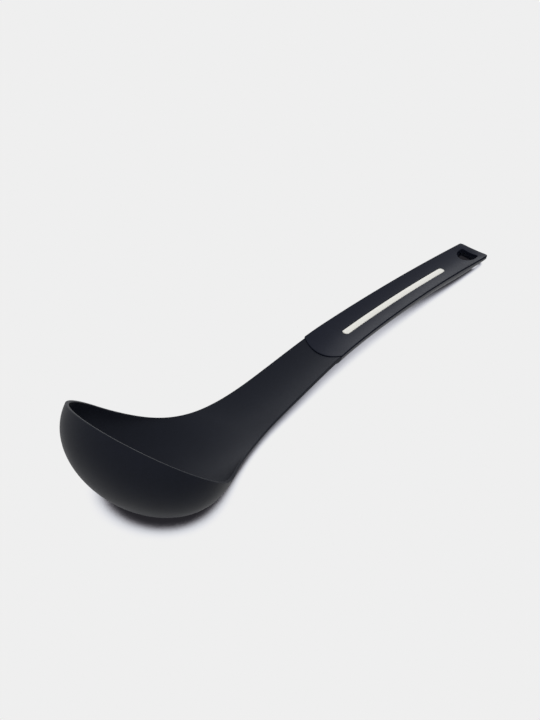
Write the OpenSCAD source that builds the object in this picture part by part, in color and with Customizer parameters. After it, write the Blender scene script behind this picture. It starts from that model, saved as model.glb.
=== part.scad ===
// Soup ladle of black kitchen plastic. The bowl, the neck and a flat tang are one moulding.
// Two shells close round the tang as the grip, and a pale stripe is let into the upper one.
// It lies as it rests on a table: the handle runs along +X and the bowl opens upwards.
// Heights are above the table, and lengths along the handle start at the bowl's centre.

/* [Bowl] */
// Width of the bowl across its rim
bowl_width = 88.4; // [78:0.2:98]
// Length of the bowl along its sloping rim
bowl_length = 77.2; // [70:0.2:84]
// Depth of the bowl, square to its rim
bowl_depth = 33.1; // [28:0.1:38]
// Slope of the rim, in degrees from the table
bowl_tilt = 39.7; // [36:0.1:46]
// Thickness of the bowl's wall
bowl_wall = 1.9; // [1.4:0.1:2.6]
// Fullness of the bowl's cross-section, where 1 is an ellipse and less is fuller
bowl_fullness = 0.93; // [0.8:0.01:1]

/* [Neck] */
// Distance from the bowl's centre to the front of the grip
neck_length = 129.5; // [118:0.5:145]
// Distance from the bowl's centre to the lowest place of the neck's edge
neck_low_at = 60.6; // [56:0.2:68]
// Height of the neck's edge at its lowest place
neck_low_height = 8.8; // [8:0.1:14]
// Distance from the bowl's centre to the shoulder, where the bowl's outline turns into the neck's
shoulder_at = 29.1; // [26:0.1:34]
// Width at the shoulder
shoulder_width = 61.8; // [56:0.2:68]
// Width taken off for each millimetre along the shoulder
shoulder_taper = 1.22; // [0.9:0.02:1.3]
// Distance from the bowl's centre to where the neck's outline is straight again
neck_straight_at = 95; // [84:0.5:104]
// Width of the neck there
neck_width = 29.2; // [26:0.2:34]
// Width taken off for each millimetre along the straight neck
neck_taper = 0.11; // [0.06:0.01:0.16]
// Thickness of the neck along its middle, next to the bowl
neck_thickness = 3; // [2.4:0.1:4]
// Thickness of the neck along its middle, at the grip
neck_root_thickness = 4.2; // [3.6:0.1:5]
// Height of the neck's side next to the bowl
neck_side = 1.4; // [1:0.1:2]
// Height of the neck's side at the grip
neck_root_side = 2; // [1.4:0.1:2.6]
// Depth of the hollow along the top of the neck and the grip
dish_depth = 2.3; // [1.6:0.1:2.8]

/* [Grip] */
// Length of the grip along its middle
grip_length = 146.2; // [132:0.1:160]
// Distance from the front of the grip to its highest place
crest_after = 18; // [10:1:30]
// Height of the grip's edge at its highest place
crest_height = 16.3; // [15:0.1:20]
// Height of the grip's edge at its end
tail_height = 6.2; // [5.8:0.1:8]
// Height lost for each millimetre along, at the grip's end
tail_slope = 0.15; // [0.1:0.01:0.18]
// Width of the grip at its end
tail_width = 19.4; // [17:0.2:22]
// How far the grip's end bulges beyond its corners, seen from above
tail_bulge = 0.1; // [0:0.1:2]
// Radius of the end's two corners, seen from above
tail_corner = 1.8; // [0.4:0.1:3]
// Depth of the hollow at the grip's end, where it has almost faded out
tail_dish = 0.4; // [0.3:0.1:2]
// Length over which the hollow fades towards the end
dish_fade = 10; // [6:0.5:16]
// Radius of the grip's curved front edge, seen from above
front_radius = 25.5; // [20:0.5:40]
// How far the grip stands out above the neck
grip_step = 0.5; // [0.3:0.1:0.8]
// How far the grip stands out beside the neck
side_step = 0.3; // [0.2:0.1:0.6]
// Depth of the grip from its edge to its underside, at its front
grip_depth = 8.6; // [8.2:0.1:10]
// Distance from the front of the grip to the fullest place of its underside
belly_after = 90; // [80:1:100]
// Depth of the grip there
belly_depth = 8.7; // [8.2:0.1:11]
// Fullness of the underside at the grip's front, where 1 is a parabola and less is fuller
base_fullness = 0.42; // [0.3:0.02:0.8]
// Fullness of the underside at its deepest place
belly_fullness = 0.45; // [0.35:0.01:0.8]
// Fullness of the underside near the grip's end
tail_fullness = 0.45; // [0.25:0.01:0.8]
// Fullness of the lower edge of the grip's end face
end_fullness = 0.35; // [0.3:0.05:1]
// Height of the upper shell's side
cover_side = 1.3; // [1:0.1:1.6]
// Thickness of the upper shell along its middle
cover_thickness = 1.8; // [1.6:0.1:2.2]
// How far the lower shell's side is set in from the upper shell's
base_inset = 0.25; // [0.1:0.05:0.5]
// Distance from the grip's end to the place where it rests on the table
rest_before_end = 17; // [14:1:26]
// Height of the underside at the grip's end
tail_lift = 0.4; // [0.2:0.1:0.8]
// Height of the lower shell's end face
end_face = 1.6; // [0.5:0.1:2.2]
// Radius of the rounding under the grip's end
tail_rounding = 3.2; // [2:0.2:8]

/* [Hanging hole] */
// Width of the D-shaped hole
hole_width = 11.4; // [9:0.2:12]
// Length of the D-shaped hole along the grip
hole_length = 9; // [7.4:0.2:10]
// Distance from the hole's flat side to the grip's end
hole_margin = 4.6; // [3.6:0.1:6]
// Radius of the hole's two corners
hole_corner = 1; // [0.6:0.1:1.8]

/* [Stripe] */
// Width of the pale stripe
stripe_width = 4.3; // [3.6:0.1:5]
// Length of the stripe from end to end
stripe_length = 92; // [80:0.5:104]
// Distance from the front of the grip to the stripe
stripe_from_front = 21.6; // [16:0.1:26]
// Depth of the stripe's recess
stripe_depth = 0.9; // [0.7:0.1:1.1]
// How far the stripe's middle stands out of the grip
stripe_crown = 0.2; // [0.1:0.05:0.4]
// Radius of the stripe's two pegs
stripe_peg_radius = 1; // [0.8:0.1:1.3]
// Distance from each end of the stripe to its peg
stripe_peg_inset = 12; // [10:1:14]

/* [Tang and pegs] */
// Width of the tang
tang_width = 8; // [7:0.5:9]
// Thickness of the tang
tang_thickness = 2.2; // [1.8:0.1:2.3]
// Length of the tang inside the grip
tang_length = 100; // [90:1:110]
// Radius of the upper shell's locating pegs
peg_radius = 1.5; // [1.2:0.1:1.8]
// Distance from the front of the grip to the first peg
peg_from_front = 11; // [9:1:13]
// Distance from the tang's end to the last peg that goes through it
peg_from_tang_end = 6; // [5:1:8]
// Distance from the hanging hole to the tail peg's middle
peg_from_hole = 6.5; // [6:0.5:8]
// Thickness left under each peg's socket
socket_floor = 0.9; // [0.7:0.1:1.2]
// How far the tang's root reaches back into the neck
tang_root = 8; // [5:1:12]
// Where the pegs begin, under the level of the stripe's recess
peg_root = 0.2; // [0.1:0.05:0.3]

/* [Fits] */
// Clearance round the tang in its channel, and round the pegs where they cross the tang
tang_clearance = 0.15; // [0.1:0.05:0.3]
// Clearance round a peg in its socket
peg_clearance = 0.06; // [0.04:0.01:0.1]
// Clearance round the stripe in its recess
stripe_clearance = 0.08; // [0.05:0.01:0.15]
// Gap between the two shells, and between the neck and the grip
seam_gap = 0.08; // [0.05:0.01:0.15]

/* [Smoothness] */
// Steps across the bowl and the grip
steps_across = 28; // [16:2:32]
// Steps along the front of the bowl
steps_front = 16; // [10:1:20]
// Steps along the back of the bowl
steps_back = 16; // [10:1:20]
// Steps along the neck
steps_neck = 8; // [6:1:12]
// Steps along the grip, as far as the rounding of its end
steps_grip = 24; // [16:2:32]
// Steps along the rounding of the grip's end
steps_tail = 8; // [5:1:10]
// Steps along the tang, its channel, the stripe and its recess
steps_strip = 20; // [12:2:28]
// Steps round an arc
$fn = 48; // [32:8:64]

/* [Hidden] */

ladle_black = [0.11, 0.11, 0.12];
grip_black = [0.14, 0.14, 0.15];
stripe_cream = [0.9, 0.89, 0.84];

// The bowl's half sizes, and the direction of its rim and of its mouth in the side view
half_length = bowl_length / 2;
half_width = bowl_width / 2;
rim_way = [cos(bowl_tilt), -sin(bowl_tilt)];
mouth_way = [sin(bowl_tilt), cos(bowl_tilt)];

// The bowl's centre is as high as its lowest point asks for, so that the bowl rests on the table
centre_height = norm([half_length * sin(bowl_tilt), bowl_depth * cos(bowl_tilt)]);
belly_reach = norm([half_length * cos(bowl_tilt), bowl_depth * sin(bowl_tilt)]);

// The rim is a plane ellipse as far as this angle round from its front
leave_angle = 105;
leave_t = -half_length * cos(leave_angle);
leave_x = leave_t * cos(bowl_tilt);
// The lowest point of the bowl, along the rim's slope and along the handle
low_t = half_length * sin(atan(half_length * tan(bowl_tilt) / bowl_depth));
heel_x = low_t * cos(bowl_tilt);

front_x = neck_length;
tail_x = neck_length + grip_length;
crest_x = front_x + crest_after;
rest_x = tail_x - rest_before_end;
belly_x = front_x + belly_after;
middle_x = (tail_x - belly_reach) / 2;

cover_under = dish_depth + cover_thickness;
tang_top = cover_under + seam_gap;
tang_bottom = tang_top + tang_thickness;
tang_end_x = front_x + tang_length;
tang_root_x = front_x - tang_root;

stripe_from = front_x + stripe_from_front;
stripe_to = stripe_from + stripe_length;
peg_xs = [front_x + peg_from_front, front_x + tang_length / 2, tang_end_x - peg_from_tang_end];
stripe_peg_xs = [stripe_from + stripe_peg_inset, stripe_to - stripe_peg_inset];
stripe_floor = dish_depth + stripe_depth;
hole_flat_x = tail_x - hole_margin;
hole_round_x = hole_flat_x - hole_length;
tail_peg_x = hole_round_x - peg_from_hole;
// Longer than any piece is high, for cuts that go right through
through = 60;
// How far a cut runs out past what it cuts
over = 1;

// Curves

function mix(a, b, t) = a + (b - a) * t;
function limit01(t) = max(0, min(1, t));
function ease(t) = let (s = limit01(t)) s * s * (3 - 2 * s);
function share(x, from, to) = (x - from) / (to - from);

// A cubic from p to q, each given as [place, value, slope]
function cubic(x, p, q) =
    let (h = q[0] - p[0], t = (x - p[0]) / h)
    (2 * t * t * t - 3 * t * t + 1) * p[1] + (t * t * t - 2 * t * t + t) * h * p[2]
    + (3 * t * t - 2 * t * t * t) * q[1] + (t * t * t - t * t) * h * q[2];

// Height of the edge line: the rim's slope, the dip of the neck, the crest and the tail
edge_leave = [leave_x, centre_height - leave_x * tan(bowl_tilt), -tan(bowl_tilt)];
edge_low = [neck_low_at, neck_low_height, 0];
edge_crest = [crest_x, crest_height, 0];
edge_tail = [tail_x, tail_height, -tail_slope];
function edge_height(x) =
    x < leave_x ? centre_height - x * tan(bowl_tilt)
    : x < neck_low_at ? cubic(x, edge_leave, edge_low)
    : x < crest_x ? cubic(x, edge_low, edge_crest)
    : cubic(x, edge_crest, edge_tail);

// Half the width of the outline seen from above
leave_half = half_width * sin(leave_angle);
leave_spread = half_width * cos(leave_angle) / (half_length * cos(bowl_tilt) * sin(leave_angle));
plan_leave = [leave_x, leave_half, leave_spread];
plan_shoulder = [shoulder_at, shoulder_width / 2, -shoulder_taper / 2];
plan_neck = [neck_straight_at, neck_width / 2, -neck_taper / 2];
plan_tail = [tail_x, tail_width / 2, 0];
function plan_half(x) =
    x < shoulder_at ? cubic(x, plan_leave, plan_shoulder)
    : x < neck_straight_at ? cubic(x, plan_shoulder, plan_neck)
    : cubic(x, plan_neck, plan_tail);

// The bowl's outer keel in the side view, as far as its lowest point
function bowl_keel(t) =
    [0, centre_height] + t * rim_way - bowl_depth * sqrt(max(0, 1 - pow(t / half_length, 2))) * mouth_way;

// The keel behind the lowest point runs on as one curve to the neck's underside
keel_low = bowl_keel(low_t);
keel_rate = norm([bowl_depth, half_length * tan(bowl_tilt)]) / bowl_depth / cos(bowl_tilt);
keel_end_height = neck_low_height - dish_depth - neck_thickness;
function back_keel(x) =
    let (span = neck_low_at - heel_x, t = share(x, heel_x, neck_low_at))
    [cubic(t, [0, keel_low[0], span * keel_rate], [1, neck_low_at, span]),
     cubic(t, [0, keel_low[1], 0], [1, keel_end_height, 0])];
function keel(x) = x < heel_x ? bowl_keel(x / cos(bowl_tilt)) : back_keel(x);

// The way from the keel into the bowl, square to the keel
function keel_inward(x) =
    let (e = 0.05, d = keel(x + e) - keel(x - e))
    [-d[1], d[0]] / norm(d);

// Sections: each has an edge point and a low point on the keel, and sags from one to the other.
// s is the sag's share, from 0 at the edge to 1 at the keel, and u runs from 1 to -1 across.

function sagged(edge, low, half, angle, power) =
    let (s = pow(sin(angle), power))
    [mix(edge[0], low[0], s), half * cos(angle), mix(edge[1], low[1], s)];

angles = [for (j = [0:steps_across]) 180 * j / steps_across];

// Front of the bowl, at an angle a round from the tip of the rim
function front_edge(a) = [0, centre_height] - half_length * cos(a) * rim_way;
function front_keel(a) = front_edge(a) - bowl_depth * sin(a) * mouth_way;
function front_inward(a) =
    let (n = cos(a) / half_length * rim_way + sin(a) / bowl_depth * mouth_way)
    n / norm(n);
function front_outer_row(a) = [for (angle = angles)
    sagged(front_edge(a), front_keel(a), half_width * sin(a), angle, bowl_fullness)];
function front_inner_row(a) = [for (angle = angles)
    sagged(front_edge(a) + bowl_wall * cos(a) * rim_way, front_keel(a) + bowl_wall * front_inward(a),
           (half_width - bowl_wall) * sin(a), angle, bowl_fullness)];

// Back of the bowl, where the flat rim turns into the neck's upright side
neck_lip = 0.2;
function back_share(x) = ease(share(x, leave_x, neck_low_at));
function back_power(x) = mix(bowl_fullness, 2, ease(share(x, heel_x / 2, neck_low_at)));
function back_wall(x) = mix(bowl_wall, neck_thickness, ease(share(x, heel_x, neck_low_at)));
function back_lip(x) = mix(bowl_wall * sin(leave_angle), neck_lip, back_share(x));
function back_side(x) = neck_side * back_share(x);
function back_shift(x) = bowl_wall * cos(leave_angle) * (1 - back_share(x));
function back_outer_row(x) = [for (angle = angles)
    sagged([x, edge_height(x) - back_side(x)], keel(x), plan_half(x), angle, back_power(x))];
function back_inner_row(x) = [for (angle = angles)
    sagged([x, edge_height(x)] + back_shift(x) * rim_way, keel(x) + back_wall(x) * keel_inward(x),
           plan_half(x) - back_lip(x), angle, back_power(x))];

// Neck, as far as the curved front of the grip
front_half = plan_half(front_x);
arc_middle_x = front_x + front_radius;
function arc_x(u) = arc_middle_x - sqrt(pow(front_radius, 2) - pow(u * front_half, 2));
function neck_share(x) = ease(share(x, neck_low_at, front_x));
function neck_edge(x) = edge_height(x) - grip_step * neck_share(x);
function neck_half(x) = plan_half(x) - side_step * neck_share(x);
function neck_side_at(x) = mix(neck_side, neck_root_side, neck_share(x));
function neck_thickness_at(x) = mix(neck_thickness, neck_root_thickness, neck_share(x));
function neck_x(f, u) = mix(neck_low_at, arc_x(u) - seam_gap, f);
function neck_top_row(f) = [for (angle = angles)
    let (u = cos(angle), x = neck_x(f, u))
    [x, u * (neck_half(x) - neck_lip), neck_edge(x) - dish_depth * (1 - u * u)]];
function neck_under_row(f) = [for (angle = angles)
    let (u = cos(angle), x = neck_x(f, u), sag = dish_depth + neck_thickness_at(x) - neck_side_at(x))
    [x, u * neck_half(x), neck_edge(x) - neck_side_at(x) - sag * (1 - u * u)]];

// Grip. Its end bulges a little between two rounded corners, and its hollow fades out there.
corner_share = tail_corner / (tail_width / 2);
function end_x(u) =
    let (k = max(0, abs(u) - 1 + corner_share) / corner_share)
    tail_x - tail_bulge * u * u - tail_corner * (1 - sqrt(1 - min(1, k * k)));
function grip_x(f, u) = mix(arc_x(u), end_x(u), f);
function dish(x) = mix(dish_depth, tail_dish, ease(share(x, tail_x - dish_fade, tail_x)));
function cover_top_row(f) = [for (angle = angles)
    let (u = cos(angle), x = grip_x(f, u))
    [x, u * plan_half(x), edge_height(x) - dish(x) * (1 - u * u)]];
function cover_under_depth(x, u) = mix(cover_side, dish(x) + cover_thickness, 1 - u * u);
function cover_under_row(f) = [for (angle = angles)
    let (u = cos(angle), x = grip_x(f, u))
    [x, u * plan_half(x), edge_height(x) - cover_under_depth(x, u)]];
function base_top_row(f) = [for (angle = angles)
    let (u = cos(angle), x = grip_x(f, u))
    [x, u * (plan_half(x) - base_inset), edge_height(x) - cover_under_depth(x, u) - seam_gap]];

// Height of the grip's underside along its middle: one curve to the belly, one down to the table
function edge_slope(x) = edge_height(x + 0.5) - edge_height(x - 0.5);
under_front = [front_x, edge_height(front_x) - grip_depth, edge_slope(front_x)];
under_belly = [belly_x, edge_height(belly_x) - belly_depth, edge_slope(belly_x)];
under_rest = [rest_x, 0, 0];
function underside(x) =
    x < belly_x ? cubic(x, under_front, under_belly)
    : x < rest_x ? cubic(x, under_belly, under_rest)
    : tail_lift * pow(share(x, rest_x, tail_x), 2);
// Depth below the edge line of a peg's socket
function socket_depth(x) = edge_height(x) - underside(x) - socket_floor;
// The rounding under the grip's end, which leaves the lower shell its end face
function rounding(x, u) =
    let (past = max(0, x - end_x(u) + tail_rounding) / tail_rounding)
    sqrt(max(0, 1 - past * past));
function fullness(x) =
    x < belly_x ? mix(base_fullness, belly_fullness, ease(share(x, front_x, belly_x)))
    : mix(belly_fullness, tail_fullness, ease(share(x, belly_x, rest_x)));
function base_under_row(f) = [for (angle = angles)
    let (u = cos(angle), x = grip_x(f, u), round = rounding(x, u), side = cover_side + seam_gap,
         full = edge_height(x) - side - underside(x),
         least = dish(x) + cover_thickness - cover_side + end_face,
         sag = mix(least, full, round))
    [x, u * (plan_half(x) - base_inset),
     edge_height(x) - side - sag * pow(1 - u * u, mix(end_fullness, fullness(x), round))]];

// Stations along the grip are closer where the end is rounded
tail_share = tail_rounding / grip_length;
grip_shares = concat(
    [for (i = [0:steps_grip]) i / steps_grip * (1 - tail_share)],
    [for (i = [1:steps_tail]) 1 - tail_share * (1 - sin(90 * i / steps_tail))]);

// Solids from rows of points

function joined(rows) = [for (row = rows) for (point = row) point];

// Faces of a slab between an upper and a lower grid, each of n + 1 rows with m + 1 points.
// A slab with a tip closes at its first row on two more points, the last of the list.
function quad(a, b, c, d) = [[a, b, c], [a, c, d]];
function slab_faces(n, m, tip) =
    let (w = m + 1, lower = (n + 1) * w, upper_tip = 2 * lower, lower_tip = upper_tip + 1)
    concat(
        [for (i = [0:n - 1]) for (j = [0:m - 1]) for (f = quad(
            i * w + j, (i + 1) * w + j, (i + 1) * w + j + 1, i * w + j + 1)) f],
        [for (i = [0:n - 1]) for (j = [0:m - 1]) for (f = quad(
            lower + i * w + j, lower + i * w + j + 1,
            lower + (i + 1) * w + j + 1, lower + (i + 1) * w + j)) f],
        [for (i = [0:n - 1]) for (f = quad(
            i * w, lower + i * w, lower + (i + 1) * w, (i + 1) * w)) f],
        [for (i = [0:n - 1]) for (f = quad(
            i * w + m, (i + 1) * w + m, lower + (i + 1) * w + m, lower + i * w + m)) f],
        [for (j = [0:m - 1]) for (f = quad(
            n * w + j, lower + n * w + j, lower + n * w + j + 1, n * w + j + 1)) f],
        tip ? [for (j = [0:m - 1]) [upper_tip, j, j + 1]] : [],
        tip ? [for (j = [0:m - 1]) [lower_tip, lower + j + 1, lower + j]] : [],
        tip ? quad(upper_tip, lower_tip, lower, 0) : [],
        tip ? quad(upper_tip, m, lower + m, lower_tip) : [],
        tip ? [] : [for (j = [0:m - 1]) for (f = quad(j, j + 1, lower + j + 1, lower + j)) f]);

module slab(upper, lower, tips = []) {
    polyhedron(
        points = concat(joined(upper), joined(lower), tips),
        faces = slab_faces(len(upper) - 1, len(upper[0]) - 1, len(tips) > 0));
}

// A bar of the side outline between two depths below the edge line
module side_bar(from, to, top, bottom, width) {
    stations = [for (i = [0:steps_strip]) mix(from, to, i / steps_strip)];
    upper = [for (x = stations) [x, edge_height(x) - top]];
    lower = [for (i = [steps_strip:-1:0]) [stations[i], edge_height(stations[i]) - bottom]];
    rotate([90, 0, 0])
        linear_extrude(width, center = true)
            polygon(concat(upper, lower));
}

// A round peg or bore, from one depth below the edge line at x to another
module upright(x, radius, top, bottom) {
    translate([x, 0, edge_height(x) - bottom])
        cylinder(r = radius, h = bottom - top);
}

// The whole ladle is moved along so that the origin is under the middle of its length
module placed() {
    translate([-middle_x, 0, 0])
        children();
}

// Bowl, neck and tang

module bowl_and_neck() {
    front = [for (i = [1:steps_front]) leave_angle * i / steps_front];
    back = [for (i = [1:steps_back]) mix(leave_x, neck_low_at, i / steps_back)];
    neck = [for (i = [1:steps_neck]) i / steps_neck];
    inner = concat([for (a = front) front_inner_row(a)], [for (x = back) back_inner_row(x)],
                   [for (f = neck) neck_top_row(f)]);
    outer = concat([for (a = front) front_outer_row(a)], [for (x = back) back_outer_row(x)],
                   [for (f = neck) neck_under_row(f)]);
    tip = front_edge(0);
    inner_tip = tip + bowl_wall * rim_way;
    slab(inner, outer, [[inner_tip[0], 0, inner_tip[1]], [tip[0], 0, tip[1]]]);
}

module tang() {
    difference() {
        side_bar(tang_root_x, tang_end_x, tang_top, tang_bottom, tang_width);
        for (x = peg_xs)
            upright(x, peg_radius + tang_clearance, tang_top - over, tang_bottom + over);
    }
}

module ladle_head() {
    color(ladle_black)
        placed() {
            bowl_and_neck();
            tang();
        }
}

// Hanging hole

module hole_outline() {
    radius = hole_width / 2;
    translate([hole_round_x + radius, 0])
        circle(radius);
    translate([hole_round_x + radius, -radius])
        square([hole_length - radius - hole_corner, hole_width]);
    translate([hole_round_x + radius, hole_corner - radius])
        square([hole_length - radius, hole_width - 2 * hole_corner]);
    for (side = [-1, 1])
        translate([hole_flat_x - hole_corner, side * (radius - hole_corner)])
            circle(hole_corner);
}

module hanging_hole() {
    translate([0, 0, -through / 2])
        linear_extrude(through)
            hole_outline();
}

// Stripe and its recess

module stripe_outline(margin) {
    radius = stripe_width / 2 + margin;
    for (x = [stripe_from + stripe_width / 2, stripe_to - stripe_width / 2])
        translate([x, 0])
            circle(radius);
    translate([stripe_from + stripe_width / 2, -radius])
        square([stripe_length - stripe_width, 2 * radius]);
}

module stripe_block(margin) {
    translate([0, 0, -through / 2])
        linear_extrude(through)
            stripe_outline(margin);
}

// A ribbon that follows the hollow of the grip, between two depths below its edge
module stripe_ribbon(top, bottom, crown) {
    half = stripe_width / 2;
    rows = [for (i = [0:steps_strip]) mix(stripe_from - over, stripe_to + over, i / steps_strip)];
    sides = [for (j = [0:6]) (half + over) * cos(180 * j / 6)];
    slab([for (x = rows) [for (y = sides) [x, y, edge_height(x) - top + crown * (1 - pow(y / half, 2))]]],
         [for (x = rows) [for (y = sides) [x, y, edge_height(x) - bottom]]]);
}

module stripe_inlay() {
    color(stripe_cream)
        placed() {
            intersection() {
                stripe_ribbon(dish_depth, stripe_floor, stripe_crown);
                stripe_block(0);
            }
            for (x = stripe_peg_xs)
                upright(x, stripe_peg_radius, stripe_floor - stripe_depth / 2, cover_under);
        }
}

// Upper shell

module cover_shell() {
    slab([for (f = grip_shares) cover_top_row(f)], [for (f = grip_shares) cover_under_row(f)]);
}

module grip_cover() {
    color(grip_black)
        placed() {
            difference() {
                cover_shell();
                intersection() {
                    stripe_ribbon(0, stripe_floor, 0);
                    stripe_block(stripe_clearance);
                }
                for (x = stripe_peg_xs)
                    upright(x, stripe_peg_radius + peg_clearance, stripe_floor - over, cover_under + over);
                hanging_hole();
            }
            for (x = concat(peg_xs, tail_peg_x))
                upright(x, peg_radius, stripe_floor + peg_root, socket_depth(x) - peg_clearance);
        }
}

// Lower shell

module base_shell() {
    slab([for (f = grip_shares) base_top_row(f)], [for (f = grip_shares) base_under_row(f)]);
}

module grip_base() {
    color(grip_black)
        placed()
            difference() {
                base_shell();
                side_bar(front_x - over, tang_end_x + tang_clearance, 0, tang_bottom + tang_clearance,
                         tang_width + 2 * tang_clearance);
                for (x = concat(peg_xs, tail_peg_x))
                    upright(x, peg_radius + peg_clearance, 0, socket_depth(x));
                hanging_hole();
            }
}

ladle_head();
grip_cover();
grip_base();
stripe_inlay();
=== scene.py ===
"""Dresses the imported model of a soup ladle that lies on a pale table.

The bowl and neck are one moulding of black nylon. A grip of two black ABS shells closes round
its tang, and a cream stripe is let into the upper shell. Sizes are in millimetres, heights are
above the table, and lengths along the handle start at the bowl's centre. A mesh is laid in
metres, in the model's own frame.
"""

import logging
import math
from collections.abc import Callable, Sequence
from dataclasses import dataclass
from enum import Enum
from functools import cached_property

import bpy
from bpy.types import Material, Node, NodeSocket, NodeTree, Object, World
from mathutils import Matrix, Vector


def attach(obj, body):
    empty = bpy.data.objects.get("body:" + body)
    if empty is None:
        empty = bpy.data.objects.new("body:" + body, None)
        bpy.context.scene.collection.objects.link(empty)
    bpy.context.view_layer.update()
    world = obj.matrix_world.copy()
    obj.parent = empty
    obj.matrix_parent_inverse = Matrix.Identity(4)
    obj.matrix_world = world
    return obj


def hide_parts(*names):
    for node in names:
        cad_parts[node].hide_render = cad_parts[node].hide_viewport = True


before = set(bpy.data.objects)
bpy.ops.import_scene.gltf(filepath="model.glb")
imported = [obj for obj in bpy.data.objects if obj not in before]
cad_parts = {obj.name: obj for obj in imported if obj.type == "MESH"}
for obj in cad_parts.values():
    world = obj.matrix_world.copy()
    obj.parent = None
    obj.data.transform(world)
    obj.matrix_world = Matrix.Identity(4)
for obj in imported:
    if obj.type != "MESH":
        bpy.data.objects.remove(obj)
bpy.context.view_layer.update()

log = logging.getLogger("ladle")
Point = tuple[float, float, float]
Pair = tuple[float, float]
# Places on a colour ramp in rising order, each with its colour
Steps = tuple[tuple[float, str], ...]
MM = 0.001
# Points nearer than this are one point, in millimetres
MERGE = 0.004


# Curves


def mix(a: float, b: float, share: float) -> float:
    """Returns the value that lies at a share of the way from a to b."""
    return a + (b - a) * share


def spaced(count: int, flat: float) -> list[float]:
    """Spaces the columns of a section.

    Args:
        count: How many steps there are.
        flat: 0 spaces them by angle, as on a round section, and 1 by width, as on a flat one.

    Returns:
        Shares of the half width, from 1 to -1.
    """
    return [mix(math.cos(math.pi * j / count), 1 - 2 * j / count, flat) for j in range(count + 1)]


def ease(value: float, start: float, end: float) -> float:
    """Rises smoothly from 0 to 1 while a value goes from start to end.

    Args:
        value: Where to read the rise.
        start: Where it leaves 0.
        end: Where it reaches 1.

    Returns:
        The rise at the value, from 0 to 1.
    """
    t = max(0.0, min(1.0, (value - start) / (end - start)))
    return t * t * (3 - 2 * t)


@dataclass(frozen=True)
class Spline:
    """A smooth curve of cubics through knots, each a place, a value and a slope."""

    knots: tuple[Point, ...]

    def at(self, x: float) -> float:
        """Returns the curve's value at a place. Past an end, the last cubic runs on."""
        k = 0
        while k < len(self.knots) - 2 and x > self.knots[k + 1][0]:
            k += 1
        (a, p, m), (b, q, n) = self.knots[k], self.knots[k + 1]
        h = b - a
        t = (x - a) / h
        return (
            (2 * t**3 - 3 * t**2 + 1) * p
            + (t**3 - 2 * t**2 + t) * h * m
            + (3 * t**2 - 2 * t**3) * q
            + (t**3 - t**2) * h * n
        )


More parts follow.
